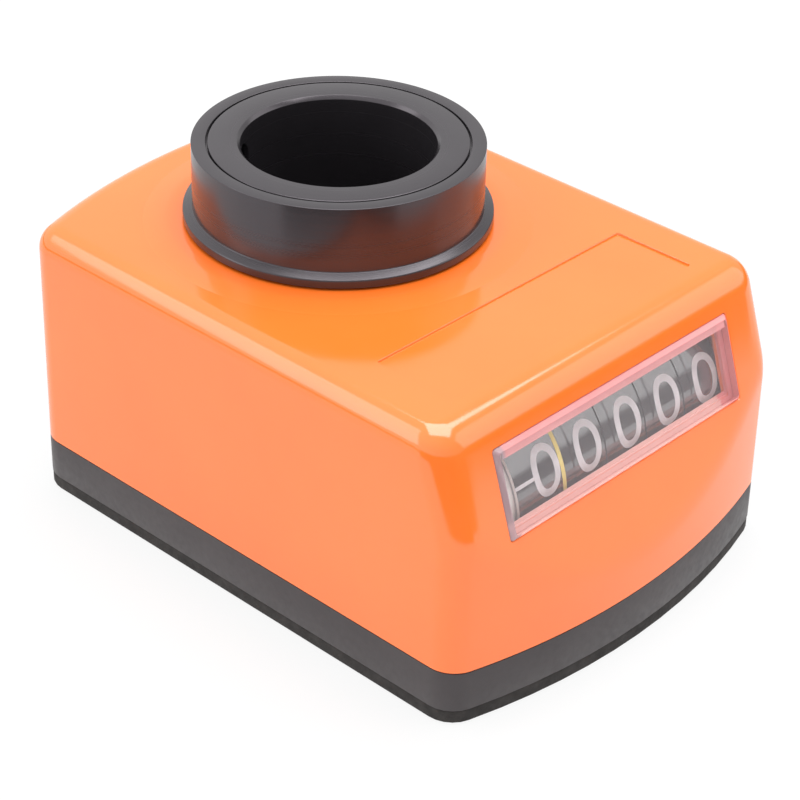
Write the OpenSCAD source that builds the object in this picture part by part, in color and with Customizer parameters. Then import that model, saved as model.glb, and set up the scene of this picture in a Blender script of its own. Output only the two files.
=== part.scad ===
// Mechanical position indicator: a case clamped by a hollow shaft on a machine spindle.
// The shaft turns a crown gear, and a gear train turns a counter of five number wheels.
// Millimetres. Z is the shaft axis, z = 0 the mounting face, and the window looks along -Y.

/* [Case] */
// Width of the case
case_w = 48.4; // [46.5:0.1:52]
// Distance from the shaft axis to the front of the case
front_reach = 42.5; // [42:0.1:48]
// Distance from the shaft axis to the back of the case
rear_reach = 24.8; // [23:0.1:30]
// Height of the top face above the mounting face
case_top = 31.25; // [30.8:0.05:36]
// Plan radius of the bowed front wall
front_r = 76; // [60:1:140]
// Plan radius of the bowed back wall
rear_r = 67; // [50:1:140]
// Plan radius of the corners
corner_r = 3.3; // [2.4:0.1:5]
// Width of the rounding along the top edges
edge_w = 2.5; // [1.6:0.1:2.9]
// Height of the rounding along the top edges
edge_drop = 2.2; // [1.6:0.1:3]
// Draft of the side walls, as an inset at the top
draft_in = 0.1; // [0:0.05:0.5]
// Thickness of the case walls
wall = 1.7; // [1.4:0.05:1.9]
// Thickness of the case top
top_wall = 2; // [1.6:0.05:2.2]
// Diameter of the raised pad round the shaft
pad_d = 38.4; // [36:0.1:42]
// Height of the raised pad
pad_h = 0.3; // [0.1:0.05:0.5]
// Width of the label recess
label_w = 35.6; // [20:0.1:38]
// Length of the label recess
label_l = 9.4; // [6:0.1:10.5]
// Depth of the label recess
label_d = 0.35; // [0.1:0.05:0.5]

/* [Base and gasket] */
// Thickness of the foam gasket
gasket_t = 1.5; // [1:0.1:2]
// Height of the base band above the gasket
base_h = 4.5; // [4:0.1:5.5]
// Thickness of the base floor
floor_t = 2; // [1.6:0.05:2.1]
// Diameter of the locating pin
pin_d = 6; // [4:0.1:8]
// Reach of the locating pin below the mounting face
pin_reach = 9; // [5:0.5:14]
// Distance from the shaft axis to the locating pin
pin_dist = 30; // [26:0.5:34]

/* [Shaft and collar] */
// Bore of the hollow shaft
bore_d = 20; // [14:0.1:21]
// Outside diameter of the hollow shaft
shaft_d = 26.6; // [25.5:0.1:27.5]
// Height of the shaft's upper end above the mounting face
shaft_top = 40; // [39:0.1:46]
// Wall of the collar round the shaft
collar_wall = 1.7; // [1.4:0.05:2.2]
// Reach of the collar's flange beyond its wall
flange_w = 1; // [0.6:0.05:1.8]
// Thickness of the collar's flange
flange_t = 0.9; // [0.6:0.05:1.2]
// Thread diameter of the set screw
screw_d = 4; // [3:0.1:5.4]
// Direction of the set screw round the shaft, in degrees from +X
screw_a = 125; // [0:5:355]

/* [Window] */
// Lean of the window face from the vertical, in degrees
slope = 18; // [16:0.5:19.5]
// Distance of the window centre behind the front of the case
window_back = 4.15; // [3.9:0.05:4.4]
// Height of the window centre above the mounting face
window_z = 23.45; // [23:0.05:24]
// Width of the lens
window_w = 35; // [30:0.1:37]
// Height of the lens along the slope
window_h = 9.3; // [8:0.1:9.8]
// Depth of the lens seat in the slope
seat_d = 0.9; // [0.6:0.05:1]
// Height of the lens above the slope
lens_proud = 0.35; // [0.1:0.05:0.6]

/* [Counter] */
// Radius of the number wheels
wheel_r = 9.6; // [9.2:0.05:9.8]
// Pitch of the number wheels along their axle
wheel_pitch = 6.1; // [6:0.02:6.2]
// Width of a number drum
drum_w = 4.8; // [4.4:0.05:4.9]
// Offset of the middle digit from the centre of the case
counter_x = 2.9; // [2.5:0.05:3.2]
// Extra width of the first drum, for its graduation
grad_w = 2.2; // [2:0.05:3]
// Depth of the drums behind the window face
read_depth = 2; // [1.95:0.05:2.4]
// Drop of the wheel axle's level below the window centre, down the slope
read_drop = 2; // [1.8:0.05:2.2]
// Diameter of the wheel axle
axle_d = 3; // [2:0.1:3.6]
// Diameter of the transfer pinion axle
pinion_axle_d = 2; // [1.4:0.1:2.4]

/* [Gears] */
// Teeth of the crown gear on the shaft
crown_teeth = 40; // [40:1:44]
// Teeth of the pinion that the crown gear drives
pinion_teeth = 10; // [10:1:11]
// Width of the train gears
gear_w = 1.4; // [1.1:0.05:1.5]
// Width of the crown pinion
pinion_w = 1.5; // [1.2:0.05:1.6]
// Diameter of the gear studs
stud_d = 2.4; // [1.6:0.1:3]
// Thickness of the counter frame's cheeks
cheek_t = 0.8; // [0.6:0.05:0.9]

/* [Hidden] */

// Fits and small clearances
run_gap = 0.05;      // radial gap of a running fit
side_gap = 0.2;      // gap beside a turning piece
fit_gap = 0.1;       // gap between moulded pieces that plug together
eps = 0.01;          // overshoot of a cut

// Case levels
base_z = gasket_t;                       // underside of the base
split_z = base_z + base_h;               // parting line of base and housing
floor_z = base_z + floor_t;              // top of the base floor
ceiling_z = case_top - top_wall;
pad_z = case_top + pad_h;
front_cy = front_r - front_reach;        // plan centre of the front wall
rear_cy = rear_reach - rear_r;           // plan centre of the back wall
lip_t = 0.9;                             // base lip that plugs into the housing
lip_h = 1.5;
inner_r = 1.4;                           // rounding inside the housing
label_gap = 3.85;                        // from the unrounded front edge to the label recess
gasket_in = 0.05;                        // gasket edge inside the base's edge
pin_c = 0.7;                             // chamfer of the locating pin
spigot_in = 0.78;                        // step from the locating pin to its pressed end
spigot_d = pin_d - 2 * spigot_in;
pin_room = 1.2;                          // gasket cut clear of the locating pin

// Shaft
bore_r = bore_d / 2;
shaft_r = shaft_d / 2;
collar_d = shaft_d + 2 * collar_wall;
flange_d = collar_d + 2 * flange_w;
bearing_r = shaft_r + run_gap;           // plain bearings in the base and the housing
seal_w = 1.3;                            // radial width of the two seals
seal_h = 1.2;
boss_w = 3.4;                            // wall of the bearing bosses
boss_h = 3.5;                            // height of the base's bearing boss
flange_z = pad_z + side_gap;             // underside of the collar
edge_c = 0.2;                            // small edge chamfer
mouth_c = 0.35;                          // chamfer of the bore's mouth
flange_rise = 0.4;                       // rise of the flange's top face towards the collar
groove_w = 0.22;                         // groove between shaft and collar at the top
groove_d = 0.6;
screw_z = (flange_z + flange_t + shaft_top) / 2;
screw_back = 0.1;                        // screw head below the collar's surface
screw_tip = 0.3;                         // screw tip short of the bore
screw_c = 0.6;                           // chamfer of the screw tip
screw_len = collar_d / 2 - screw_back - bore_r - screw_tip;
hex_d = screw_d * 0.58;                  // socket across corners

// Window plane: n points out of it, t runs up it
window_y = window_back - front_reach;
function slope_z(y, inset) = window_z + ((y - window_y) * cos(slope) - inset) / sin(slope);
function slope_y(z, inset) = window_y + ((z - window_z) * sin(slope) + inset) / cos(slope);
lens_ledge = 0.6;                        // lens seat above and below the opening
lens_side = 0.75;                        // lens seat beside the opening
lens_brow = 0.65;                        // more seat above the opening
lens_bevel = 0.45;
plug_d = 0.45;                           // lens plug below its seat

// Counter places
digits = 5;
reach_in = read_depth + wheel_r;         // from the window face to the wheel axle
axle_y = window_y - read_drop * sin(slope) + reach_in * cos(slope);
axle_z = window_z - read_drop * cos(slope) - reach_in * sin(slope);
function digit_x(i) = counter_x + (i - (digits - 1) / 2) * wheel_pitch;
function drum_left(i) = digit_x(i) - drum_w / 2 - (i == 0 ? grad_w : 0);
function drum_right(i) = digit_x(i) + drum_w / 2;
carry_gap = wheel_pitch - drum_w;        // room between two drums
carry_w = (carry_gap - side_gap) / 2;    // width of a wheel's gear, and of its carry rim

// Transfer gears between the wheels
wheel_teeth = 20;
transfer_teeth = 8;
transfer_rim = 0.115;                    // rim of the drum outside the gear's pitch circle, as a share
transfer_m = 2 * wheel_r * (1 - transfer_rim) / wheel_teeth;
transfer_dist = transfer_m * (wheel_teeth + transfer_teeth) / 2;
transfer_add = 0.75;                     // addendum, in modules
pinion_tip_r = transfer_m * (transfer_teeth / 2 + transfer_add);
pinion_lift = 0.5;                       // gap from the base floor to the pinion tips
pin_axle_z = floor_z + pinion_lift + pinion_tip_r;
transfer_a = -180 - asin((pin_axle_z - axle_z) / transfer_dist);
pin_axle_y = axle_y + transfer_dist * cos(transfer_a);
carry_room = 0.3;                        // carry rim short of the pinion tips
carry_r = transfer_dist - pinion_tip_r - carry_room;

// Gear plane and cheeks, counted inwards from the left wall
lip_in = wall + fit_gap + lip_t;
cheek_x = lip_in + fit_gap - case_w / 2;             // outer face of the left cheek
gear_x = cheek_x + cheek_t + side_gap;               // outer face of the train gears
pinion_x = gear_x + gear_w + side_gap;               // outer face of the crown pinion
right_cheek_x = drum_right(digits - 1) + side_gap * 2;

// Crown gear and its pinion
tooth_add = 0.8;                                     // addendum and dedendum, in modules
tooth_ded = 1.15;
crown_r = -(pinion_x + pinion_w / 2);
crown_m = 2 * crown_r / crown_teeth;
crown_z = base_z + boss_h + side_gap;                // underside of the crown
crown_t = 1.7;
pitch_z = crown_z + crown_t + tooth_ded * crown_m;
drive_z = pitch_z + crown_m * pinion_teeth / 2;
crown_out_r = crown_r + pinion_w / 2;

// Train from the drive gear over the idler to the first wheel, all with the same teeth
train_teeth = 20;
train_len = norm([axle_y, axle_z - drive_z]);
train_slack = 1.05;                                  // the idler sits off the straight line
train_m = train_slack * train_len / (2 * train_teeth);
train_d = train_m * train_teeth;
train_a = atan2(axle_z - drive_z, axle_y);           // direction from drive to wheel axle
idler_a = train_a - acos(train_len / 2 / train_d);
idler_y = train_d * cos(idler_a);
idler_z = drive_z + train_d * sin(idler_a);
idler_out_a = atan2(axle_z - idler_z, axle_y - idler_y);

// Counter frame
web_y = -crown_out_r - 1.8;                          // back edge of the frame's web
web_l = 6;
web_t = 1.6;
post_r = 3;                                          // material round an axle hole
pinion_post_r = pinion_axle_d / 2 + 0.75;            // less round the pinion axle, beside the lip
frame_screw_x = 11;                                  // frame screws either side of the middle
frame_screw_r = 1;
screw_head_r = 1.9;
screw_head_h = 1.2;
drive_w = 0.4;                                       // width of the cross recess
screw_end_z = base_z + 0.5;

// Tooth shapes

pressure_a = 20;                                     // pressure angle, in degrees

// Involute of an angle in degrees, as an angle in degrees
function inv(a) = tan(a) * 180 / PI - a;

// Half the angle of a tooth at radius r
function half_tooth(r, n, m, play) =
    let (rp = n * m / 2, rb = rp * cos(pressure_a), q = max(r, rb))
    90 / n - play / 2 / rp * 180 / PI + inv(pressure_a) - inv(acos(min(1, rb / q)));

// Outline of a spur gear with a tooth on +X; with every = 2 each second tooth is left out
function gear_points(n, m, play, add = 0.8, ded = 1.15, every = 1) =
    let (rp = n * m / 2, r0 = rp - ded * m, r1 = rp + add * m, steps = 4)
    [for (i = [0:n - 1], side = [-1, 1], k = [0:steps])
        let (f = (side < 0 ? k : steps - k) / steps,
             r = i % every == 0 ? r0 + (r1 - r0) * f : r0,
             a = 360 * i / n + side * (half_tooth(r0 + (r1 - r0) * f, n, m, play)
                 + (i % every == 0 ? 0 : 0.4 * (1 - f))))
        [r * cos(a), r * sin(a)]];

// Turn of gear c so that it meshes with gear b, which is turned by turn_b and lies opposite to dir
function mesh_turn(turn_b, teeth_b, dir, teeth_c) =
    dir + 180 - (turn_b - dir) * teeth_b / teeth_c + 180 / teeth_c;

// Extrudes a YZ shape along +X from x
module along_x(x, len) translate([x, 0, 0]) rotate([90, 0, 90]) linear_extrude(len) children();

// Round bar along +X
module rod_x(y, z, x, len, r) translate([x, y, z]) rotate([0, 90, 0]) cylinder(h = len, r = r, $fn = 64);

// Spur gear along +X, on the axis y, z
module spur_x(y, z, x, len, n, m, play, turn, add = 0.8, every = 1)
    along_x(x, len) translate([y, z]) rotate(turn)
        polygon(gear_points(n, m, play, add = add, every = every));

// Plan outline of the case

function arc(cx, cy, r, a0, a1, n, skip = 0) =
    [for (i = [skip:n - skip]) let (a = a0 + (a1 - a0) * i / n) [cx + r * cos(a), cy + r * sin(a)]];

// Two straight sides, bowed front and back, and four round corners, set in by inset
function outline(inset = 0, wall_steps = 12, corner_steps = 5) =
    let (w = case_w / 2 - inset, rc = max(corner_r - inset, 0.4), cx = w - rc,
         rf = front_r - inset, rr = rear_r - inset,
         yf = front_cy - sqrt(pow(rf - rc, 2) - cx * cx), yr = rear_cy + sqrt(pow(rr - rc, 2) - cx * cx),
         af = atan2(yf - front_cy, cx), ar = atan2(yr - rear_cy, cx))
    concat(arc(cx, yf, rc, af, 0, corner_steps), arc(cx, yr, rc, 0, ar, corner_steps),
           arc(0, rear_cy, rr, ar, 180 - ar, wall_steps, 1),
           arc(-cx, yr, rc, 180 - ar, 180, corner_steps), arc(-cx, yf, rc, 180, 180 - af, corner_steps),
           arc(0, front_cy, rf, 180 - af, 360 + af, wall_steps, 1));

// Convex body from the parting line up, with rounded edges and the sloping window face
module case_body(inset, top, r, drop) {
    plane_in = inset + norm([r * cos(slope), drop * sin(slope)]);
    z1 = top - drop;
    kink_y = slope_y(z1, plane_in);
    side_x = case_w / 2 - inset - draft_in - r;
    q = max(corner_r - inset - draft_in - r, eps);
    kinks = concat(arc(side_x - q, kink_y + q, q, -90, 0, 4), arc(q - side_x, kink_y + q, q, 180, 270, 4));
    hull() {
        translate([0, 0, split_z]) linear_extrude(eps) polygon(outline(inset));
        for (p = concat(outline(inset + draft_in + r), kinks))
            translate([p.x, p.y, min(z1, slope_z(p.y, plane_in))])
                scale([1, 1, drop / r]) sphere(r, $fn = 24);
    }
}

// Places children on the window face: x across, y up the slope, z out of it
module on_window() translate([0, window_y, window_z]) rotate([90 - slope, 0, 0]) children();

module slab(w, h, z0, z1) translate([-w / 2, -h / 2, z0]) cube([w, h, z1 - z0]);

// Block in the window's opening, less a gap
module opening(gap, z0, z1) translate([0, -lens_brow / 2, 0])
    slab(window_w - 2 * lens_side - gap, window_h - 2 * lens_ledge - lens_brow - gap, z0, z1);

module ring(r0, r1, z0, z1) translate([0, 0, z0]) difference() {
    cylinder(h = z1 - z0, r = r1, $fn = 128);
    translate([0, 0, -eps]) cylinder(h = z1 - z0 + 2 * eps, r = r0, $fn = 128);
}

// Case pieces

module housing() color("darkorange") difference() {
    union() {
        difference() {
            case_body(0, case_top, edge_w, edge_drop);
            translate([0, 0, -2 * eps]) case_body(wall, ceiling_z + 2 * eps, inner_r, inner_r);
        }
        translate([0, 0, ceiling_z - eps]) cylinder(h = pad_z - ceiling_z + eps, d = pad_d, $fn = 128);
        translate([0, 0, ceiling_z - boss_w]) cylinder(h = boss_w, r = bearing_r + boss_w, $fn = 128);
    }
    translate([0, 0, ceiling_z - boss_w - eps]) cylinder(h = case_top, r = bearing_r, $fn = 128);
    translate([0, 0, pad_z - seal_h]) cylinder(h = seal_h + eps, r = bearing_r + seal_w, $fn = 128);
    translate([-label_w / 2, slope_y(case_top, 0) + label_gap, case_top - label_d])
        cube([label_w, label_l, label_d + eps]);
    on_window() {
        slab(window_w + fit_gap, window_h + fit_gap, -seat_d, 1);
        opening(0, -wall - 1, 0);
    }
}

module window_lens() color("mistyrose", 0.5) on_window() {
    hull() {
        slab(window_w, window_h, -seat_d, lens_proud - lens_bevel);
        slab(window_w - 2 * lens_bevel, window_h - 2 * lens_bevel, -seat_d, lens_proud);
    }
    opening(fit_gap, -seat_d - plug_d, -seat_d);
}

module base_plate() color("dimgray") difference() {
    union() {
        difference() {
            translate([0, 0, base_z]) linear_extrude(base_h) polygon(outline());
            translate([0, 0, floor_z]) linear_extrude(base_h) polygon(outline(lip_in));
        }
        difference() {
            translate([0, 0, floor_z]) linear_extrude(split_z + lip_h - floor_z)
                polygon(outline(wall + fit_gap));
            translate([0, 0, floor_z - eps]) linear_extrude(base_h + lip_h) polygon(outline(lip_in));
        }
        translate([0, 0, base_z]) cylinder(h = boss_h, r = bearing_r + boss_w, $fn = 128);
    }
    translate([0, 0, base_z - eps]) cylinder(h = boss_h + 2 * eps, r = bearing_r, $fn = 128);
    translate([0, 0, base_z - eps]) cylinder(h = seal_h + eps, r = bearing_r + seal_w, $fn = 128);
    translate([0, -pin_dist, base_z - eps]) cylinder(h = floor_t + 2 * eps, d = spigot_d, $fn = 64);
    for (s = [-1, 1]) translate([s * frame_screw_x, web_y - web_l / 2, screw_end_z])
        cylinder(h = floor_t, r = frame_screw_r, $fn = 32);
}

module rear_gasket() color("black") difference() {
    linear_extrude(gasket_t) polygon(outline(gasket_in));
    translate([0, 0, -eps]) cylinder(h = gasket_t + 2 * eps, r = bearing_r + seal_w / 2, $fn = 128);
    translate([0, -pin_dist, -eps]) cylinder(h = gasket_t + 2 * eps, d = pin_d + 2 * pin_room, $fn = 64);
}

module locating_pin() color("gray") translate([0, -pin_dist, 0]) {
    translate([0, 0, base_z]) cylinder(h = floor_t, d = spigot_d, $fn = 64);
    translate([0, 0, pin_c - pin_reach]) cylinder(h = base_z + pin_reach - pin_c, d = pin_d, $fn = 64);
    translate([0, 0, -pin_reach]) cylinder(h = pin_c, d1 = pin_d - 2 * pin_c, d2 = pin_d, $fn = 64);
}

module lower_seal() color("black") ring(bearing_r, bearing_r + seal_w, base_z, base_z + seal_h);

module upper_seal() color("black") ring(bearing_r, bearing_r + seal_w, pad_z - seal_h, pad_z);

// Shaft pieces

// Radial screw line, from the shaft axis outwards
module on_screw() translate([0, 0, screw_z]) rotate([0, 90, screw_a]) children();

module screw_hole() on_screw() cylinder(h = collar_d, r = screw_d / 2 + run_gap, $fn = 64);

module hollow_shaft() color("dimgray") difference() {
    rotate_extrude($fn = 128) polygon([[bore_r, 0], [shaft_r, 0], [shaft_r, shaft_top],
        [bore_r + mouth_c, shaft_top], [bore_r, shaft_top - mouth_c]]);
    screw_hole();
}

module collar() color("dimgray") difference() {
    rotate_extrude($fn = 128) polygon([[shaft_r, flange_z], [flange_d / 2, flange_z],
        [flange_d / 2, flange_z + flange_t], [collar_d / 2, flange_z + flange_t + flange_rise],
        [collar_d / 2, shaft_top - edge_c], [collar_d / 2 - edge_c, shaft_top],
        [shaft_r + groove_w, shaft_top], [shaft_r + groove_w, shaft_top - groove_d],
        [shaft_r, shaft_top - groove_d]]);
    screw_hole();
}

// Trapezoid of a crown tooth, x along the pitch circle and y up from the pitch plane
crown_share = 0.43;                      // tooth thickness, as a share of the pitch
crown_tooth_t = crown_share * PI * crown_m;
function crown_half(h) = crown_tooth_t / 2 - h * tan(pressure_a);

module crown_gear() color("ivory") {
    ring(shaft_r, crown_out_r, crown_z, crown_z + crown_t);
    for (i = [0:crown_teeth - 1]) rotate(180 + 360 * i / crown_teeth)
        translate([crown_r - pinion_w / 2, 0, pitch_z]) rotate([90, 0, 90]) linear_extrude(pinion_w - 0.1)
            polygon([[-crown_half(-tooth_ded * crown_m), -tooth_ded * crown_m - eps],
                [crown_half(-tooth_ded * crown_m), -tooth_ded * crown_m - eps],
                [crown_half(tooth_add * crown_m), tooth_add * crown_m],
                [-crown_half(tooth_add * crown_m), tooth_add * crown_m]]);
}

module set_screw() color("dimgray") on_screw() translate([0, 0, bore_r + screw_tip]) difference() {
    rotate_extrude($fn = 64) polygon([[0, 0], [screw_d / 2 - screw_c, 0], [screw_d / 2, screw_c],
        [screw_d / 2, screw_len - edge_c], [screw_d / 2 - edge_c, screw_len], [0, screw_len]]);
    translate([0, 0, screw_len * 0.5]) cylinder(h = screw_len, d = hex_d, $fn = 6);
}

// Counter frame and its fixed pieces

module cheek(x) intersection() {
    linear_extrude(case_top) polygon(outline(lip_in + fit_gap / 2));
    along_x(x, cheek_t) {
        hull() {
            translate([axle_y, axle_z]) circle(post_r, $fn = 32);
            translate([pin_axle_y, pin_axle_z]) circle(pinion_post_r, $fn = 32);
            translate([pin_axle_y, floor_z]) square([web_y - pin_axle_y, web_t]);
        }
        children();
    }
}

module counter_frame() color("gainsboro") difference() {
    union() {
        cheek(cheek_x) hull() {
            translate([axle_y, axle_z]) circle(post_r, $fn = 32);
            translate([idler_y, idler_z]) circle(post_r, $fn = 32);
            translate([0, drive_z]) circle(post_r, $fn = 32);
            translate([web_y - web_l, floor_z]) square([web_l, web_t]);
        }
        cheek(right_cheek_x);
        translate([cheek_x, web_y - web_l, floor_z])
            cube([right_cheek_x + cheek_t - cheek_x, web_l, web_t]);
    }
    rod_x(axle_y, axle_z, cheek_x - 1, case_w, axle_d / 2);
    rod_x(pin_axle_y, pin_axle_z, cheek_x - 1, case_w, pinion_axle_d / 2);
    rod_x(idler_y, idler_z, cheek_x - 1, cheek_t + 2, stud_d / 2);
    rod_x(0, drive_z, cheek_x - 1, cheek_t + 2, stud_d / 2);
    for (s = [-1, 1]) translate([s * frame_screw_x, web_y - web_l / 2, floor_z - 1])
        cylinder(h = web_t + 2, r = frame_screw_r, $fn = 32);
}

module frame_screws() color("silver") for (s = [-1, 1])
    translate([s * frame_screw_x, web_y - web_l / 2, 0]) {
        translate([0, 0, screw_end_z])
            cylinder(h = floor_z + web_t - screw_end_z, r = frame_screw_r, $fn = 32);
        translate([0, 0, floor_z + web_t]) difference() {
            cylinder(h = screw_head_h, r = screw_head_r, $fn = 48);
            for (a = [0, 90]) rotate(a) translate([-frame_screw_r, -drive_w / 2, screw_head_h / 2])
                cube([2 * frame_screw_r, drive_w, screw_head_h]);
        }
    }

axle_len = right_cheek_x + cheek_t - cheek_x;
module wheel_axle() color("silver") rod_x(axle_y, axle_z, cheek_x, axle_len, axle_d / 2);

module pinion_axle() color("silver") rod_x(pin_axle_y, pin_axle_z, cheek_x, axle_len, pinion_axle_d / 2);

clip_t = 0.35;
drive_end_x = pinion_x + pinion_w + fit_gap;
idler_end_x = gear_x + gear_w + fit_gap;
module drive_stud() color("silver") rod_x(0, drive_z, cheek_x, drive_end_x + clip_t - cheek_x, stud_d / 2);

module idler_stud() color("silver")
    rod_x(idler_y, idler_z, cheek_x, idler_end_x + clip_t - cheek_x, stud_d / 2);

module stud_clips() color("silver")
    for (c = [[0, drive_z, drive_end_x], [idler_y, idler_z, idler_end_x]]) difference() {
        rod_x(c[0], c[1], c[2], clip_t, stud_d * 0.95);
        rod_x(c[0], c[1], c[2] - 1, clip_t + 2, stud_d / 2);
    }

// Turning pieces of the train

train_play = 0.16;
drive_turn = idler_a;
idler_turn = mesh_turn(drive_turn, train_teeth, idler_a, train_teeth);
wheel_turn = mesh_turn(idler_turn, train_teeth, idler_out_a, train_teeth);

module drive_gear() color("ivory") difference() {
    union() {
        spur_x(0, drive_z, gear_x, gear_w, train_teeth, train_m, train_play, drive_turn);
        spur_x(0, drive_z, pinion_x, pinion_w, pinion_teeth, crown_m, train_play, -90 + 180 / pinion_teeth);
        rod_x(0, drive_z, gear_x, pinion_x + pinion_w - gear_x, crown_m * (pinion_teeth / 2 - tooth_ded));
    }
    rod_x(0, drive_z, gear_x - 1, case_w, stud_d / 2 + run_gap);
}

module idler_gear() color("ivory") difference() {
    spur_x(idler_y, idler_z, gear_x, gear_w, train_teeth, train_m, train_play, idler_turn);
    rod_x(idler_y, idler_z, gear_x - 1, gear_w + 2, stud_d / 2 + run_gap);
}

// Number wheels: i counts from the fastest wheel, on the left

carry_play = 0.24;
drum_c = 0.15;                           // chamfer of the drums
notch_d = 1.2;                           // carry notches of the rim
notch_w = 1;
web_thick = 1.2;                         // web of a drum
rim_w = 1.6;                             // wall of the carry rim
wheel_hub_r = axle_d / 2 + 1.5;
face_t = 0.6;                            // end face of the first wheel
face_in = 0.4;                           // end face short of the drum's rim

module number_drum(i) {
    x0 = drum_left(i);
    w = drum_right(i) - x0;
    translate([x0, axle_y, axle_z]) rotate([90, 0, 90]) rotate_extrude($fn = 128)
        polygon([[0, 0], [wheel_r - drum_c, 0], [wheel_r, drum_c], [wheel_r, w - drum_c],
                 [wheel_r - drum_c, w], [0, w]]);
}

module carry_rim(i) along_x(drum_right(i) - eps, carry_w + eps) translate([axle_y, axle_z]) difference() {
    circle(carry_r, $fn = 96);
    for (side = [-1, 1]) rotate(transfer_a + 90 + side * 180 / wheel_teeth)
        translate([carry_r - notch_d, -notch_w / 2]) square([2 * notch_d, notch_w]);
}

module number_wheel(i) color("black") difference() {
    union() {
        number_drum(i);
        if (i > 0) spur_x(axle_y, axle_z, drum_left(i) - carry_w, carry_w + eps, wheel_teeth, transfer_m,
                          carry_play, transfer_a, add = transfer_add);
        if (i < digits - 1) carry_rim(i);
    }
    rod_x(axle_y, axle_z, cheek_x, case_w, axle_d / 2 + run_gap);
    difference() {
        rod_x(axle_y, axle_z, drum_left(i) + web_thick, wheel_pitch * 2, carry_r - rim_w);
        rod_x(axle_y, axle_z, drum_left(i), wheel_pitch * 3, wheel_hub_r);
    }
}

// Gear and pale end face of the first number wheel
module wheel_gear() color("ivory") difference() {
    union() {
        spur_x(axle_y, axle_z, gear_x, gear_w, train_teeth, train_m, train_play, wheel_turn);
        rod_x(axle_y, axle_z, gear_x, drum_left(0) - gear_x, wheel_hub_r + 1);
        rod_x(axle_y, axle_z, drum_left(0) - face_t, face_t, wheel_r - face_in);
    }
    rod_x(axle_y, axle_z, gear_x - 1, case_w, axle_d / 2 + run_gap);
}

module transfer_pinion(i) color("ivory") difference() {
    x0 = drum_right(i) + fit_gap / 2;
    turn = mesh_turn(transfer_a, wheel_teeth, transfer_a, transfer_teeth);
    union() {
        spur_x(pin_axle_y, pin_axle_z, x0, carry_w + side_gap / 2 + eps, transfer_teeth, transfer_m,
               carry_play, turn, add = transfer_add, every = 2);
        spur_x(pin_axle_y, pin_axle_z, x0 + carry_w + side_gap / 2, carry_gap / 2 - fit_gap,
               transfer_teeth, transfer_m, carry_play, turn, add = transfer_add);
    }
    rod_x(pin_axle_y, pin_axle_z, x0 - 1, carry_gap + 2, pinion_axle_d / 2 + run_gap);
}

housing();
window_lens();
base_plate();
rear_gasket();
locating_pin();
lower_seal();
upper_seal();
hollow_shaft();
collar();
crown_gear();
set_screw();
counter_frame();
frame_screws();
wheel_axle();
pinion_axle();
drive_stud();
idler_stud();
stud_clips();
drive_gear();
idler_gear();
wheel_gear();
for (i = [0:digits - 1])
    number_wheel(i);
for (i = [0:digits - 2])
    transfer_pinion(i);
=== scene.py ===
"""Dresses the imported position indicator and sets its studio."""

from math import atan2, cos, hypot, pi, radians, sin, sqrt, tan

import bmesh
import bpy
from mathutils import Matrix, Vector


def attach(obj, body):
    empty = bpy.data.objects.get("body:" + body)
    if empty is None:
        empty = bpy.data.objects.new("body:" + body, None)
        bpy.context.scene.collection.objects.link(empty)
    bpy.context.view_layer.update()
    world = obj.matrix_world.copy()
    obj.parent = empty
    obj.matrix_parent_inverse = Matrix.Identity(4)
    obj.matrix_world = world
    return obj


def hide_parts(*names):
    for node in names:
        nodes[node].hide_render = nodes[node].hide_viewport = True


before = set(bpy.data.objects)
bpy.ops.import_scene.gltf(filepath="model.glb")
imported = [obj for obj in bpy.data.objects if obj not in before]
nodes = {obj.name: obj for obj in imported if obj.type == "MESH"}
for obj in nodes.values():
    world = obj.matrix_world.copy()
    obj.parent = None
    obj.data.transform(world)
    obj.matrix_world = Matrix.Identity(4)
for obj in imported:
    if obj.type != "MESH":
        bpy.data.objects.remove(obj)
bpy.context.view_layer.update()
scene = bpy.context.scene
MM = 0.001

# Sizes of the part's source, in millimetres
CASE_W, FRONT_REACH, REAR_REACH, CASE_TOP = 48.4, 42.5, 24.8, 31.25
FRONT_R, REAR_R, CORNER_R, DRAFT = 76.0, 67.0, 3.3, 0.1
WALL, TOP_WALL, INNER_R = 1.7, 2.0, 1.4
GASKET_T, BASE_H = 1.5, 4.5
PAD_R, PAD_H = 19.2, 0.3
LABEL_W, LABEL_L, LABEL_GAP = 35.6, 9.4, 3.85
RUN_GAP, SIDE_GAP, FIT_GAP = 0.05, 0.2, 0.1
BORE_R, SHAFT_R, SHAFT_TOP, MOUTH_C = 10.0, 13.3, 40.0, 0.35
COLLAR_WALL, GROOVE_W, GROOVE_D = 1.7, 0.22, 0.6
FLANGE_W, FLANGE_T, FLANGE_RISE = 1.0, 0.9, 0.4
SEAL_W, SEAL_H, BOSS_W = 1.3, 1.2, 3.4
SCREW_R, SCREW_A = 2.0, radians(125)
SLOPE, WINDOW_BACK, WINDOW_Z = radians(18), 4.15, 23.45
WINDOW_W, WINDOW_H, SEAT_D = 35.0, 9.3, 0.9
LENS_PROUD, LENS_BEVEL, PLUG_D = 0.35, 0.45, 0.45
LENS_LEDGE, LENS_SIDE, LENS_BROW = 0.6, 0.75, 0.65
WHEEL_R, WHEEL_PITCH, DRUM_W, DRUM_C, GRADUATION_W = 9.6, 6.1, 4.8, 0.15, 2.2
DIGITS, MIDDLE_DIGIT_X, READ_DEPTH, READ_DROP = 5, 2.9, 2.0, 2.0

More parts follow.
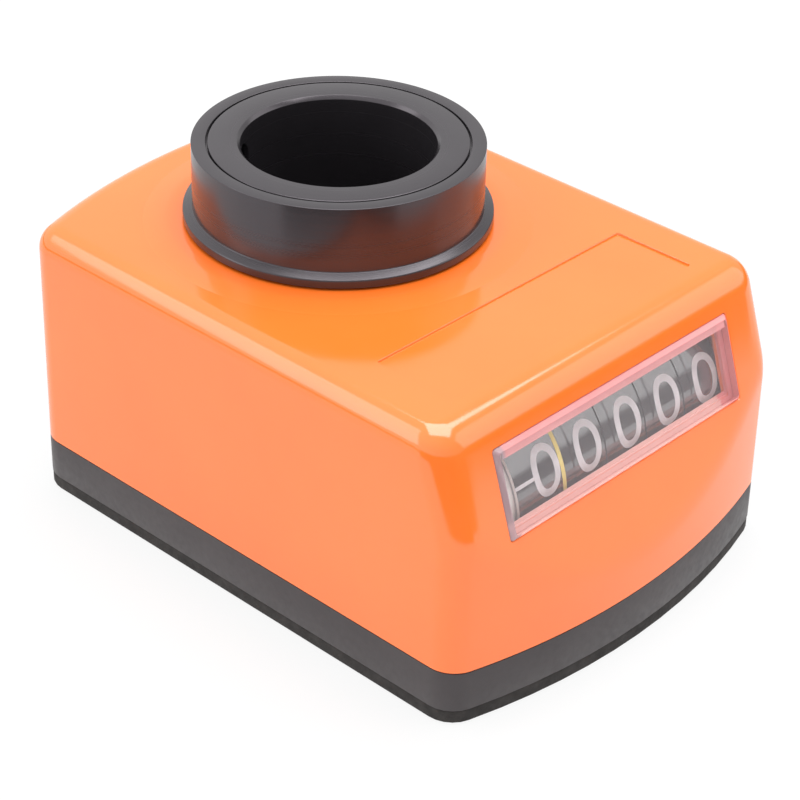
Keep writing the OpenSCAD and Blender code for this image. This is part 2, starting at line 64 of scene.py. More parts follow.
# Sizes and places that follow from those, as in the source
SPLIT_Z = GASKET_T + BASE_H
CEILING_Z = CASE_TOP - TOP_WALL
PAD_Z = CASE_TOP + PAD_H
SEAL_Z = PAD_Z - SEAL_H
BEARING_R = SHAFT_R + RUN_GAP
SEAL_R = BEARING_R + SEAL_W
BOSS_R = BEARING_R + BOSS_W
COLLAR_R = SHAFT_R + COLLAR_WALL
FLANGE_R = COLLAR_R + FLANGE_W
FLANGE_Z = PAD_Z + SIDE_GAP
SCREW_Z = (FLANGE_Z + FLANGE_T + SHAFT_TOP) / 2
WINDOW_Y = WINDOW_BACK - FRONT_REACH
LABEL_Y = WINDOW_Y + (CASE_TOP - WINDOW_Z) * tan(SLOPE) + LABEL_GAP
OPEN_W = WINDOW_W - 2 * LENS_SIDE
OPEN_H = WINDOW_H - 2 * LENS_LEDGE - LENS_BROW
OPEN_DROP = LENS_BROW / 2
AXLE_IN = READ_DEPTH + WHEEL_R
AXLE_Y = WINDOW_Y - READ_DROP * sin(SLOPE) + AXLE_IN * cos(SLOPE)
AXLE_Z = WINDOW_Z - READ_DROP * cos(SLOPE) - AXLE_IN * sin(SLOPE)
DIGIT_X = [MIDDLE_DIGIT_X + (k - (DIGITS - 1) / 2) * WHEEL_PITCH for k in range(DIGITS)]

# Sizes that only the look has: softer edges on the case and a shallower label
EDGE_W, EDGE_DROP, BROW_R, LABEL_D = 2.6, 2.6, 3.4, 0.22

# Steps of round forms, and the edges that a bevel breaks
BEVEL_STEPS, BEVEL_ANGLE = 2, radians(38)
ARC_STEPS, TURN_STEPS, PAD_STEPS, SCREW_STEPS = 4, 192, 256, 64


# Meshes, made in millimetres

def raw_object(name, verts, faces):
    mesh = bpy.data.meshes.new(name)
    mesh.from_pydata(verts, [], faces)
    mesh.validate()
    obj = bpy.data.objects.new(name, mesh)
    scene.collection.objects.link(obj)
    return obj


def bake(obj):
    """Applies the object's modifiers to its mesh."""
    graph = bpy.context.evaluated_depsgraph_get()
    mesh = bpy.data.meshes.new_from_object(obj.evaluated_get(graph))
    obj.modifiers.clear()
    obj.data = mesh


def cut(obj, *cutters):
    for cutter in cutters:
        mod = obj.modifiers.new("cut", "BOOLEAN")
        mod.object = cutter
        mod.solver = "EXACT"
    bake(obj)
    for cutter in cutters:
        bpy.data.objects.remove(cutter)


def bevel(obj, width):
    mod = obj.modifiers.new("edges", "BEVEL")
    mod.width = width
    mod.segments = BEVEL_STEPS
    mod.limit_method = "ANGLE"
    mod.angle_limit = BEVEL_ANGLE
    bake(obj)


def settle(obj, body, mats, stands_for=(), sharp=32):
    """Scales the mesh to metres, shades it, with hard edges over sharp degrees, and puts it on its body."""
    mesh = obj.data
    mesh.transform(Matrix.Scale(MM, 4))
    mesh.shade_smooth()
    mesh.set_sharp_from_angle(angle=radians(sharp))
    for mat in mats:
        mesh.materials.append(mat)
    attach(obj, body)
    if stands_for:
        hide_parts(*stands_for)
    return obj


def join(name, parts):
    """One object from (verts, faces, material index) parts."""
    verts, faces, index = [], [], []
    for part_verts, part_faces, mat in parts:
        at = len(verts)
        verts += part_verts
        faces += [[i + at for i in face] for face in part_faces]
        index += [mat] * len(part_faces)
    obj = raw_object(name, verts, faces)
    for polygon, mat in zip(obj.data.polygons, index):
        polygon.material_index = mat
    return obj


def taken_apart(obj):
    """Points and faces of a raw object, which is removed."""
    verts = [tuple(v.co) for v in obj.data.vertices]
    faces = [list(p.vertices) for p in obj.data.polygons]
    bpy.data.objects.remove(obj)
    return verts, faces


def cad_mesh(node):
    """Points and faces of a CAD node in millimetres, welded, with its flat faces whole."""
    weld, flat = 0.002, radians(0.3)
    bm = bmesh.new()
    bm.from_mesh(nodes[node].data)
    bmesh.ops.scale(bm, vec=(1 / MM,) * 3, verts=bm.verts)
    bmesh.ops.remove_doubles(bm, verts=bm.verts, dist=weld)
    bmesh.ops.dissolve_limit(bm, angle_limit=flat, verts=bm.verts, edges=bm.edges)
    bm.verts.index_update()
    verts, faces = [tuple(v.co) for v in bm.verts], [[v.index for v in f.verts] for f in bm.faces]
    bm.free()
    return verts, faces


def loft(rings, close=False, start_cap=True):
    """Skin over rings with the same number of points; close joins the last ring to the first."""
    count = len(rings[0])
    verts = [tuple(p) for ring in rings for p in ring]
    faces = []
    for k in range(len(rings) if close else len(rings) - 1):
        a, b = k * count, (k + 1) % len(rings) * count
        for i in range(count):
            j = (i + 1) % count
            faces.append([a + i, a + j, b + j, b + i])
    if not close and start_cap:
        faces.append(list(range(count))[::-1])
    if not close:
        at = (len(rings) - 1) * count
        faces.append(list(range(at, at + count)))
    return verts, faces


def rounded(points):
    """Closed polygon of (a, b, radius) with its corners turned into arcs."""
    out = []
    for i, (a, b, r) in enumerate(points):
        if r <= 0:
            out.append((a, b))
            continue
        p, before = Vector((a, b)), Vector(points[i - 1][:2])
        after = Vector(points[(i + 1) % len(points)][:2])
        u, v = (before - p).normalized(), (after - p).normalized()
        half = u.angle(v) / 2
        centre = p + (u + v).normalized() * (r / sin(half))
        start, end = p + u * (r / tan(half)) - centre, p + v * (r / tan(half)) - centre
        turn = start.angle_signed(end)
        for k in range(ARC_STEPS + 1):
            out.append(tuple(centre + Matrix.Rotation(-turn * k / ARC_STEPS, 2) @ start))
    return out


def circle(r, z, steps=TURN_STEPS):
    """Level ring round the shaft axis."""
    return [(r * cos(2 * pi * k / steps), r * sin(2 * pi * k / steps), z) for k in range(steps)]


def revolve(profile, steps=TURN_STEPS):
    """Closed (r, z) profile turned round the shaft axis."""
    return loft([circle(r, z, steps) for r, z in profile], close=True)


def rect_ring(w, h, r):
    return rounded([(w / 2, -h / 2, r), (w / 2, h / 2, r), (-w / 2, h / 2, r), (-w / 2, -h / 2, r)])


def on_window(u, v, w):
    """Point of the window face: u across, v up the slope, w out of it."""
    return (u, WINDOW_Y + v * sin(SLOPE) - w * cos(SLOPE), WINDOW_Z + v * cos(SLOPE) + w * sin(SLOPE))


def window_rings(w, h, drop, levels):
    """Rings of a w by h window, from levels of (growth, corner radius, distance out of the window face)."""
    return [[on_window(u, v - drop, out) for u, v in rect_ring(w + growth, h + growth, r)]
            for growth, r, out in levels]


# Procedural materials

NOISE_LOW, NOISE_HIGH = 0.3, 0.7
TONE_DETAIL, GRAIN_DETAIL, ROUGH_SCALE = 4, 3, 0.4


class Nodes:
    """Short calls for a material's node tree."""

    def __init__(self, name):
        self.mat = bpy.data.materials.new(name)
        self.mat.use_nodes = True
        self.tree = self.mat.node_tree
        self.shader = self.tree.nodes["Principled BSDF"]
        self.coords = self.new("TexCoord").outputs["Object"]

    def new(self, kind):
        return self.tree.nodes.new("ShaderNode" + kind)

    def link(self, a, b):
        self.tree.links.new(a, b)

    def put(self, name, value):
        self.link(value, self.shader.inputs[name])

    def fix(self, name, value):
        self.shader.inputs[name].default_value = value

    def fed(self, name):
        """The output that feeds an input of the shader."""
        return self.shader.inputs[name].links[0].from_socket

    def noise(self, scale, detail, vector=None):
        node = self.new("TexNoise")
        node.inputs["Scale"].default_value = scale
        node.inputs["Detail"].default_value = detail
        self.link(vector or self.coords, node.inputs["Vector"])
        return node.outputs["Fac"]

    def axis(self, name):
        split = self.new("SeparateXYZ")
        self.link(self.coords, split.inputs[0])
        return split.outputs[name]

    def radius(self):
        """Distance from the shaft axis and height, as a vector."""
        flat = self.new("Mapping")
        flat.inputs["Scale"].default_value = (1, 1, 0)
        self.link(self.coords, flat.inputs["Vector"])
        length = self.new("VectorMath")
        length.operation = "LENGTH"
        self.link(flat.outputs["Vector"], length.inputs[0])
        joined = self.new("CombineXYZ")
        self.link(length.outputs["Value"], joined.inputs["X"])
        self.link(self.axis("Z"), joined.inputs["Y"])
        return joined.outputs[0]

    def ramp(self, fac, low, high):
        """Colour from low to high over a noise's usual range."""
        node = self.new("ValToRGB")
        for element, place, colour in zip(node.color_ramp.elements, (NOISE_LOW, NOISE_HIGH), (low, high)):
            element.position = place
            element.color = (*colour, 1)
        self.link(fac, node.inputs["Fac"])
        return node.outputs["Color"]

    def scaled(self, value, start, end, low=0.0, high=1.0):
        """Number from low to high while value goes from start to end."""
        node = self.new("MapRange")
        for name, number in zip(("From Min", "From Max", "To Min", "To Max"), (start, end, low, high)):
            node.inputs[name].default_value = number
        self.link(value, node.inputs["Value"])
        return node.outputs["Result"]

    def mix(self, share, first, second):
        """Mix of two colours, by the colour sockets of the mix node."""
        node = self.new("Mix")
        node.data_type = "RGBA"
        for socket, value in zip((0, 6, 7), (share, first, second)):
            self.link(value, node.inputs[socket])
        return node.outputs[2]

    def math(self, operation, first, second):
        node = self.new("Math")
        node.operation = operation
        self.link(first, node.inputs[0])
        if isinstance(second, float):
            node.inputs[1].default_value = second
        else:
            self.link(second, node.inputs[1])
        return node.outputs[0]

    def bump(self, height, strength, distance, base=None):
        node = self.new("Bump")
        node.inputs["Strength"].default_value = strength
        node.inputs["Distance"].default_value = distance
        self.link(height, node.inputs["Height"])
        if base:
            self.link(base, node.inputs["Normal"])
        return node.outputs["Normal"]


def surface(name, low, high, rough, tone=120, grain=1500, depth=0.00001, strength=0.25, metal=0.0,
            specular=0.5):
    """Mottled base colour, roughness that varies a little, and a fine grain."""
    n = Nodes(name)
    n.put("Base Color", n.ramp(n.noise(tone, TONE_DETAIL), low, high))
    n.put("Roughness", n.scaled(n.noise(grain * ROUGH_SCALE, GRAIN_DETAIL), NOISE_LOW, NOISE_HIGH, *rough))
    n.put("Normal", n.bump(n.noise(grain, GRAIN_DETAIL), strength, depth))
    n.fix("Metallic", metal)
    n.fix("Specular IOR Level", specular)
    return n


def turned(name, low, high, rough, metal, specular=0.5, tint=(1, 1, 1)):
    """Turned and blackened metal: fine marks round the shaft axis over a mottled tone."""
    tone, tone_detail, grain, grain_detail, grain_strength = 160, 5, 2600, 2, 0.06
    mark, mark_detail, mark_strength, depth = 2500, 2, 0.07, 0.00001
    n = Nodes(name)
    n.put("Base Color", n.ramp(n.noise(tone, tone_detail), low, high))
    marks = n.noise(mark, mark_detail, n.radius())
    n.put("Roughness", n.scaled(marks, NOISE_LOW, NOISE_HIGH, *rough))
    marked = n.bump(marks, mark_strength, depth)
    n.put("Normal", n.bump(n.noise(grain, grain_detail), grain_strength, depth, marked))
    n.fix("Metallic", metal)
    n.fix("Specular IOR Level", specular)
    n.fix("Specular Tint", (*tint, 1))
    return n.mat


def coated_drum():
    """Black drum under a thick gloss coat."""
    n = surface("wheel_black", (0.018, 0.016, 0.018), (0.026, 0.024, 0.026), (0.1, 0.14), tone=200,
                grain=2200, strength=0.06, specular=0.95)
    n.fix("Coat Weight", 1.0)
    n.fix("Coat IOR", 1.8)
    n.fix("Coat Roughness", 0.08)
    return n.mat


def clear_lens():
    n = surface("lens_clear", (0.78, 0.72, 0.75), (0.84, 0.79, 0.81), (0.06, 0.12), tone=90, grain=500,
                strength=0.05)
    n.fix("Alpha", 0.1)
    return n.mat


def frosted_rim_with_painted_shade():
    """Border of the lens: pale below, with painted shade that makes it redder at the top and the right and
    dark at the left.
    """
    tone = 200
    # Places where the painted shade changes over, in metres
    right_from, right_to, left_from, left_to = 0.0153, 0.0156, -0.0161, -0.0166
    top_from, top_to = 0.0235, 0.0262
    n = surface("lens_rim_painted_shade", (0.94, 0.56, 0.52), (0.97, 0.61, 0.57), (0.1, 0.18), tone=tone, grain=500,
                strength=0.05)
    mottle = n.noise(tone, TONE_DETAIL)
    # Painted shade: redder at the top and the right and dark grey at the left, where the border lies in shade
    top = n.ramp(mottle, (0.8, 0.33, 0.33), (0.86, 0.38, 0.38))
    left = n.ramp(mottle, (0.42, 0.3, 0.33), (0.48, 0.35, 0.38))
    right = n.ramp(mottle, (0.9, 0.34, 0.34), (0.94, 0.4, 0.4))
    colour = n.mix(n.scaled(n.axis("Z"), top_from, top_to), n.fed("Base Color"), top)
    colour = n.mix(n.scaled(n.axis("X"), right_from, right_to), colour, right)
    n.put("Base Color", n.mix(n.scaled(n.axis("X"), left_from, left_to), colour, left))
    n.fix("Alpha", 0.78)
    return n.mat


orange = surface("case_orange", (0.96, 0.175, 0.019), (0.985, 0.19, 0.024), (0.1, 0.14), tone=60, grain=900,
                 depth=0.000006, strength=0.1, specular=1.0).mat
base_grey = surface("base_grey", (0.044, 0.036, 0.038), (0.058, 0.049, 0.051), (0.38, 0.5), tone=90,
                    grain=3200, depth=0.00002, strength=0.35).mat
foam = surface("foam_black", (0.021, 0.018, 0.017), (0.041, 0.036, 0.034), (0.75, 0.9), tone=700, grain=2600,
               depth=0.00006, strength=0.8).mat
black = turned("shaft_black", (0.016, 0.0145, 0.0165), (0.021, 0.019, 0.0215), (0.2, 0.28), metal=0.0,
               specular=0.85, tint=(1, 0.92, 0.99))
screw_black = turned("screw_black", (0.025, 0.024, 0.026), (0.045, 0.043, 0.046), (0.3, 0.42), metal=0.6)
steel = surface("steel", (0.5, 0.5, 0.52), (0.63, 0.63, 0.65), (0.22, 0.36), tone=300, grain=2400,
                strength=0.15, metal=1.0).mat
rubber = surface("seal_rubber", (0.016, 0.016, 0.017), (0.028, 0.028, 0.029), (0.55, 0.7), grain=2000).mat
gear_plastic = surface("gear_plastic", (0.82, 0.77, 0.73), (0.9, 0.85, 0.81), (0.35, 0.48), grain=1800).mat
frame_plastic = surface("frame_plastic", (0.5, 0.5, 0.49), (0.58, 0.58, 0.57), (0.4, 0.55), grain=1800).mat
drum_black = coated_drum()
# Wheel cores in a lighter grey than the drums: painted light that brightens the shaded gaps between the drums
core_painted_light = surface("wheel_core_painted_light", (0.34, 0.32, 0.33), (0.42, 0.4, 0.41), (0.35, 0.48), grain=1800).mat
print_white = surface("print_white", (0.62, 0.58, 0.6), (0.75, 0.71, 0.73), (0.4, 0.5), tone=900,
                      grain=3000).mat
print_yellow = surface("print_yellow", (0.8, 0.6, 0.12), (0.9, 0.72, 0.2), (0.4, 0.5), tone=900,
                       grain=3000).mat
clear = clear_lens()
rim = frosted_rim_with_painted_shade()


# Housing: a moulded shell, skinned over level sections

FRONT_STEPS, CORNER_STEPS, SIDE_STEPS, REAR_STEPS = 56, 12, 10, 40
EDGE_STEPS, INNER_EDGE_STEPS = 14, 4
SLOPE_BLEND, CORNER_LEAST, CORNER_EASE, LEVEL_LEAST = 0.5, 0.12, 6, 0.05
LEAD_H, LEAD_SCALE = 0.12, 0.9965

# Heights of the sections: few low on the plain wall, close together where the slope cuts it
OUTER_LEVELS = [SPLIT_Z, SPLIT_Z + LEAD_H, 7.5, 9.0] + [9.5 + 0.36 * k for k in range(53)]
INNER_LEVELS = [SPLIT_Z] + [8.0 + k for k in range(20)]

# How far cutters reach past the wall, and the pad and the boss sink into it, then sizes of these forms
CUT_PAST, PAD_SINK, BOSS_SINK = 1.0, 0.06, 0.05
HOLE_LOW, HOLE_HIGH = 20.0, 40.0
SEAT_GAP, OPEN_R = 0.04, 0.3
PAD_SKIRT, PAD_SKIRT_DROP, PAD_SHOULDER, PAD_SHOULDER_R, PAD_MOUTH_R = 1.0, 0.01, 1.5, 6.0, 0.12

# Levels of the recess as (growth, corner radius, height over the top): a drafted wall and a soft edge
LABEL_LEVELS = ((-0.1, 0.25, -LABEL_D), (0, 0.3, -0.06), (0.16, 0.4, 0.04))

# Levels of the lens seat as (growth, corner radius, distance out of the window face)
SEAT_LEVELS = ((0, 0.3, -SEAT_D), (0, 0.3, -0.1), (0.2, 0.4, 0.02), (2.2, 1, CUT_PAST))


def soft_max(a, b):
    """Larger of two numbers with a soft change-over, and the share of the second."""
    gap = max(SLOPE_BLEND - abs(a - b), 0) / SLOPE_BLEND
    share = min(max(0.5 + 0.5 * (b - a) / SLOPE_BLEND, 0), 1)
    return max(a, b) + gap * gap * SLOPE_BLEND / 4, share


def slope_line(z, off, top, r):
    """Place of the sloping face at a height, with its rounding into the top."""
    rise = (z - top) / r + 1
    if rise > sin(SLOPE):
        kink = WINDOW_Y + (top - r - WINDOW_Z) * tan(SLOPE) + (off + r) / cos(SLOPE)
        return kink - r * sqrt(max(1 - rise * rise, 0))
    return WINDOW_Y + (z - WINDOW_Z) * tan(SLOPE) + off / cos(SLOPE)


def section(z, theta, off, top, r):
    """Level section of the case: theta runs over the top rounding, off sets the walls in."""
    inset = off + DRAFT * min((z - SPLIT_Z) / (CASE_TOP - EDGE_DROP - SPLIT_Z), 1) + r * (1 - cos(theta))
    rc = max(max(CORNER_R - off, r) - r * (1 - cos(theta)), CORNER_LEAST)
    cx = CASE_W / 2 - inset - rc
    front_cy, rear_cy = FRONT_R - FRONT_REACH, REAR_REACH - REAR_R
    slope_y = slope_line(z, off, top, r if off else BROW_R)

    def front_y(x):
        return soft_max(front_cy - sqrt((FRONT_R - inset) ** 2 - x * x), slope_y)[0]

    bow_y = front_cy - sqrt((FRONT_R - inset - rc) ** 2 - cx * cx)
    corner_y, share = soft_max(bow_y, slope_y + rc)
    start = atan2(bow_y - front_cy, cx) * (1 - share) - pi / 2 * share
    end_x, end_y = cx + rc * cos(start), corner_y + rc * sin(start)
    front = []
    for i in range(FRONT_STEPS + 1):
        x = end_x * (2 * i / FRONT_STEPS - 1)
        front.append((x, front_y(x) + (end_y - front_y(end_x)) * (abs(x) / end_x) ** CORNER_EASE, z))

    rear_y = rear_cy + sqrt((REAR_R - inset - rc) ** 2 - cx * cx)
    stop = atan2(rear_y - rear_cy, cx)
    right = []
    for k in range(1, CORNER_STEPS + 1):
        a = start * (1 - k / CORNER_STEPS)
        right.append((cx + rc * cos(a), corner_y + rc * sin(a), z))
    for k in range(1, SIDE_STEPS):
        right.append((cx + rc, corner_y + (rear_y - corner_y) * k / SIDE_STEPS, z))
    for k in range(CORNER_STEPS):
        a = stop * k / CORNER_STEPS
        right.append((cx + rc * cos(a), rear_y + rc * sin(a), z))

    back = []
    for i in range(REAR_STEPS + 1):
        a = stop + (pi - 2 * stop) * i / REAR_STEPS
        back.append(((REAR_R - inset) * cos(a), rear_cy + (REAR_R - inset) * sin(a), z))
    left = [(-x, y, z) for x, y, z in right[::-1]]
    return front + right + back + left


def case_rings(off, top, r, drop, levels, steps):
    """Sections up the wall, then over the top rounding."""
    bend = top - drop
    rings = [section(z, 0, off, top, r) for z in levels if z < bend - LEVEL_LEAST]
    for k in range(steps + 1):
        theta = pi / 2 * k / steps
        rings.append(section(bend + drop * sin(theta), theta, off, top, r))
    return rings


def case_shell():
    """Outer and inner skin, joined at the parting line, where the outer one leads in a little."""
    outer = case_rings(0, CASE_TOP, EDGE_W, EDGE_DROP, OUTER_LEVELS, EDGE_STEPS)
    outer[0] = [(x * LEAD_SCALE, y * LEAD_SCALE, z) for x, y, z in outer[0]]
    inner = case_rings(WALL, CEILING_Z, INNER_R, INNER_R, INNER_LEVELS, INNER_EDGE_STEPS)
    verts, faces = loft(outer, start_cap=False)
    inner_verts, inner_faces = loft(inner, start_cap=False)
    at, count = len(verts), len(outer[0])
    faces += [[at + i for i in face[::-1]] for face in inner_faces]
    faces += [[i, at + i, at + (i + 1) % count, (i + 1) % count] for i in range(count)]
    return raw_object("housing_shell", verts + inner_verts, faces)


def shaft_hole():
    """The bearing's bore with the upper seal's pocket above it."""
    levels = ((BEARING_R, HOLE_LOW), (BEARING_R, SEAL_Z), (SEAL_R, SEAL_Z), (SEAL_R, HOLE_HIGH))
    return raw_object("hole", *loft([circle(r, z) for r, z in levels]))


def label_recess():
    rings = [[(x, y + LABEL_Y + LABEL_L / 2, CASE_TOP + up)
              for x, y in rect_ring(LABEL_W + growth, LABEL_L + growth, r)] for growth, r, up in LABEL_LEVELS]
    return raw_object("label", *loft(rings))


def lens_seat():
    return raw_object("seat", *loft(window_rings(WINDOW_W + SEAT_GAP, WINDOW_H + SEAT_GAP, 0, SEAT_LEVELS)))


def lens_opening():
    levels = ((0, OPEN_R, -WALL - CUT_PAST), (0, OPEN_R, 0))
    return raw_object("opening", *loft(window_rings(OPEN_W, OPEN_H, OPEN_DROP, levels)))


def shaft_pad():
    """Raised pad round the shaft, with a shallow cone for an edge."""
    foot, skirt_r = CASE_TOP - PAD_SINK, PAD_R + PAD_SKIRT
    profile = [(SEAL_R, foot, 0), (skirt_r, foot, 0), (skirt_r, CASE_TOP - PAD_SKIRT_DROP, 0),
               (PAD_R - PAD_SHOULDER, PAD_Z, PAD_SHOULDER_R), (SEAL_R, PAD_Z, PAD_MOUTH_R)]
    return revolve(rounded(profile), PAD_STEPS)


def bearing_boss():
    low, high = CEILING_Z - BOSS_W, CEILING_Z + BOSS_SINK
    return revolve([(BEARING_R, low), (BOSS_R, low), (BOSS_R, high), (BEARING_R, high)])


shell = case_shell()
cut(shell, shaft_hole(), label_recess(), lens_seat(), lens_opening())
housing = join("housing_shell", [(*skin, 0) for skin in (taken_apart(shell), shaft_pad(), bearing_boss())])
settle(housing, "case", [orange], ["housing"], sharp=28)


# Lens with its frosted border, and pale slabs as painted light on its shaded seat

CLEAR, FROSTED_AND_PAINTED = 0, 1
PLUG_R, PLUG_FOOT_R, PLUG_C, LENS_R, LENS_FACE_R = 0.3, 0.25, 0.1, 0.35, 0.3
BAND_T, BAND_IN, TOP_BAND_H, FOOT_BAND_H = 0.05, 0.05, 0.7, 0.4
TOP_BAND_BACK, LEDGE_BAND_UP, LEDGE_BAND_GAP, FOOT_BAND_UP = 0.1, 0.08, 0.02, 0.13


def lens_rings():
    """Plug, then the rim and its bevel, which is softened at both ends."""
    soft_low, soft_side, soft_high, soft_face = 0.05, 0.06, 0.03, 0.1
    foot, bevel_out, face = -SEAT_D - PLUG_D, LENS_PROUD - LENS_BEVEL, -2 * LENS_BEVEL
    plug = ((-2 * PLUG_C, PLUG_FOOT_R, foot), (0, PLUG_R, foot + PLUG_C), (0, PLUG_R, -SEAT_D))
    front = ((0, LENS_R, -SEAT_D), (0, LENS_R, bevel_out - soft_low),
             (-soft_side, LENS_R, bevel_out + soft_high),
             (face + soft_face, LENS_FACE_R, LENS_PROUD - soft_high),
             (face - soft_side, LENS_FACE_R, LENS_PROUD))
    return (window_rings(OPEN_W - FIT_GAP, OPEN_H - FIT_GAP, OPEN_DROP, plug)
            + window_rings(WINDOW_W, WINDOW_H, 0, front))


def frosted_and_painted_light_bands():
    """Thin frosted slabs in the lens: over the opening, on two ledges and at the plug's foot; those on the
    ledges and at the foot are painted light that brightens the shaded seat.
    """
    half, lens_half, lens_top = OPEN_W / 2, WINDOW_W / 2 - BAND_IN, WINDOW_H / 2 - BAND_IN
    open_low, open_top = -OPEN_H / 2 - OPEN_DROP, OPEN_H / 2 - OPEN_DROP
    over, foot = open_top + BAND_IN, open_low + BAND_IN
    ledge_out, foot_out = LEDGE_BAND_UP - SEAT_D, FOOT_BAND_UP - SEAT_D - PLUG_D
    slabs = ((-half, half, over, over + TOP_BAND_H, LENS_PROUD - TOP_BAND_BACK),
             # Ledge and foot slabs: pale painted light over the shaded lens seat
             (-half, half, -lens_top, open_low - LEDGE_BAND_GAP, ledge_out),
             (2 * BAND_IN - half, half - 2 * BAND_IN, foot, foot + FOOT_BAND_H, foot_out),
             (half, lens_half, -lens_top, lens_top, ledge_out))
    return [loft([[on_window(u, v, out) for u, v in ((u0, v0), (u1, v0), (u1, v1), (u0, v1))]
                  for out in (depth - BAND_T, depth)]) for u0, u1, v0, v1, depth in slabs]


rings = lens_rings()
lens = join("window_lens_clear", [(*loft(rings), CLEAR)] + [(*band, FROSTED_AND_PAINTED) for band in frosted_and_painted_light_bands()])
ring_size = len(rings[0])
for polygon in lens.data.polygons:
    if ring_size <= polygon.index < ring_size * (len(rings) - 1):
        polygon.material_index = FROSTED_AND_PAINTED
settle(lens, "case", [clear, rim], ["window_lens"], sharp=20)


# Base, gasket and pin

def dress(name, node, body, mat, edge):
    """The CAD node's own shape with its edges broken."""
    obj = raw_object(name, *cad_mesh(node))
    bevel(obj, edge)
    return settle(obj, body, [mat], [node])


dress("base_plate_moulded", "base_plate", "case", base_grey, edge=0.18)
dress("rear_gasket_foam", "rear_gasket", "case", foam, edge=0.22)
dress("locating_pin_steel", "locating_pin", "case", steel, edge=0.12)


# Shaft, collar and set screw

SHAFT_FOOT_R, SHAFT_EDGE_R, LIP_R, MOUTH_R = 0.25, 0.1, 0.06, 0.15
FLANGE_FOOT_R, FLANGE_EDGE_R, COLLAR_FOOT_R = 0.15, 0.2, 0.12
SCREW_HOLE_R, SCREW_HOLE_FROM, SCREW_HOLE_TO = SCREW_R + RUN_GAP, 6, 20


def screw_hole():
    axis = Vector((cos(SCREW_A), sin(SCREW_A), 0))
    side = Vector((-sin(SCREW_A), cos(SCREW_A), 0))
    rim_points = circle(SCREW_HOLE_R, 0, SCREW_STEPS)
    rings = [[axis * out + side * u + Vector((0, 0, SCREW_Z + v)) for u, v, _ in rim_points]
             for out in (SCREW_HOLE_FROM, SCREW_HOLE_TO)]
    return raw_object("bore", *loft(rings))


def turned_piece(name, node, profile):
    """Ring turned from an (r, z, rounding) profile, with the set screw's hole."""
    obj = raw_object(name, *revolve(rounded(profile)))
    cut(obj, screw_hole())
    return settle(obj, "shaft", [black], [node])


turned_piece("hollow_shaft_turned", "hollow_shaft", [
    (BORE_R, 0, SHAFT_FOOT_R), (SHAFT_R, 0, SHAFT_FOOT_R), (SHAFT_R, SHAFT_TOP, SHAFT_EDGE_R),
    (BORE_R + MOUTH_C, SHAFT_TOP, LIP_R), (BORE_R, SHAFT_TOP - MOUTH_C, MOUTH_R)])
turned_piece("collar_turned", "collar", [
    (SHAFT_R, FLANGE_Z, 0), (FLANGE_R, FLANGE_Z, FLANGE_FOOT_R),
    (FLANGE_R, FLANGE_Z + FLANGE_T, FLANGE_EDGE_R),
    (COLLAR_R, FLANGE_Z + FLANGE_T + FLANGE_RISE, COLLAR_FOOT_R), (COLLAR_R, SHAFT_TOP, LIP_R),
    (SHAFT_R + GROOVE_W, SHAFT_TOP, LIP_R), (SHAFT_R + GROOVE_W, SHAFT_TOP - GROOVE_D, 0),
    (SHAFT_R, SHAFT_TOP - GROOVE_D, 0)])
dress("set_screw_socket", "set_screw", "set_screw", screw_black, edge=0.08)


# Number wheels with their printed digits

STROKE, HALF_W, HALF_H, ZERO_POWER = 0.76, 1.47, 2.28, 2.25
STROKE_STEP, MITRE_LEAST = 0.3, 0.6
READ_UP, PRINT_LIFT, DIGITS_ROUND = 0.9, 0.02, 10
DIGIT_ARC = 2 * pi * WHEEL_R / DIGITS_ROUND

# How far round each wheel its digits stand off the reading line, as in the photo
SETTING = (0, -0.12, -0.22, -0.4, -0.5)

# The first wheel alone has a graduation at its left and a yellow line at its right
FIRST_LEFT, FIRST_RIGHT = DIGIT_X[0] - DRUM_W / 2 - GRADUATION_W, DIGIT_X[0] + DRUM_W / 2
TICK_IN, TICK_STEP, TICK_STEPS, TICK_HIGH, TICK_LOW = 0.05, 0.25, 12, 0.03, -0.35
LINE_IN, LINE_W, LINE_STEPS = 0.01, 0.51, 128

# Faces are told apart by these: the drum's skin lies further out, the first drum's end further left
SKIN_IN, END_IN = 0.02, 0.05
SKIN_R, END_X = WHEEL_R - SKIN_IN, FIRST_LEFT + DRUM_C + END_IN
DRUM, WHITE, YELLOW, CORE, END = range(5)
WHEEL_FINISHES = [drum_black, print_white, print_yellow, core_painted_light, gear_plastic]


def bow(cx, cy, rx, ry, start, end, steps=20):
    """Elliptic arc from start to end, in degrees."""
    return [(cx + rx * cos(radians(start + (end - start) * k / steps)),
             cy + ry * sin(radians(start + (end - start) * k / steps))) for k in range(steps + 1)]


def oval(cx, cy, rx, ry, power=2.0, steps=48):
    """Superellipse: squarer than an ellipse where power is over 2."""
    out = []
    for k in range(steps):
        c, s = cos(2 * pi * k / steps), sin(2 * pi * k / steps)
        out.append((cx + rx * abs(c) ** (2 / power) * (1 if c > 0 else -1),
                    cy + ry * abs(s) ** (2 / power) * (1 if s > 0 else -1)))
    return out


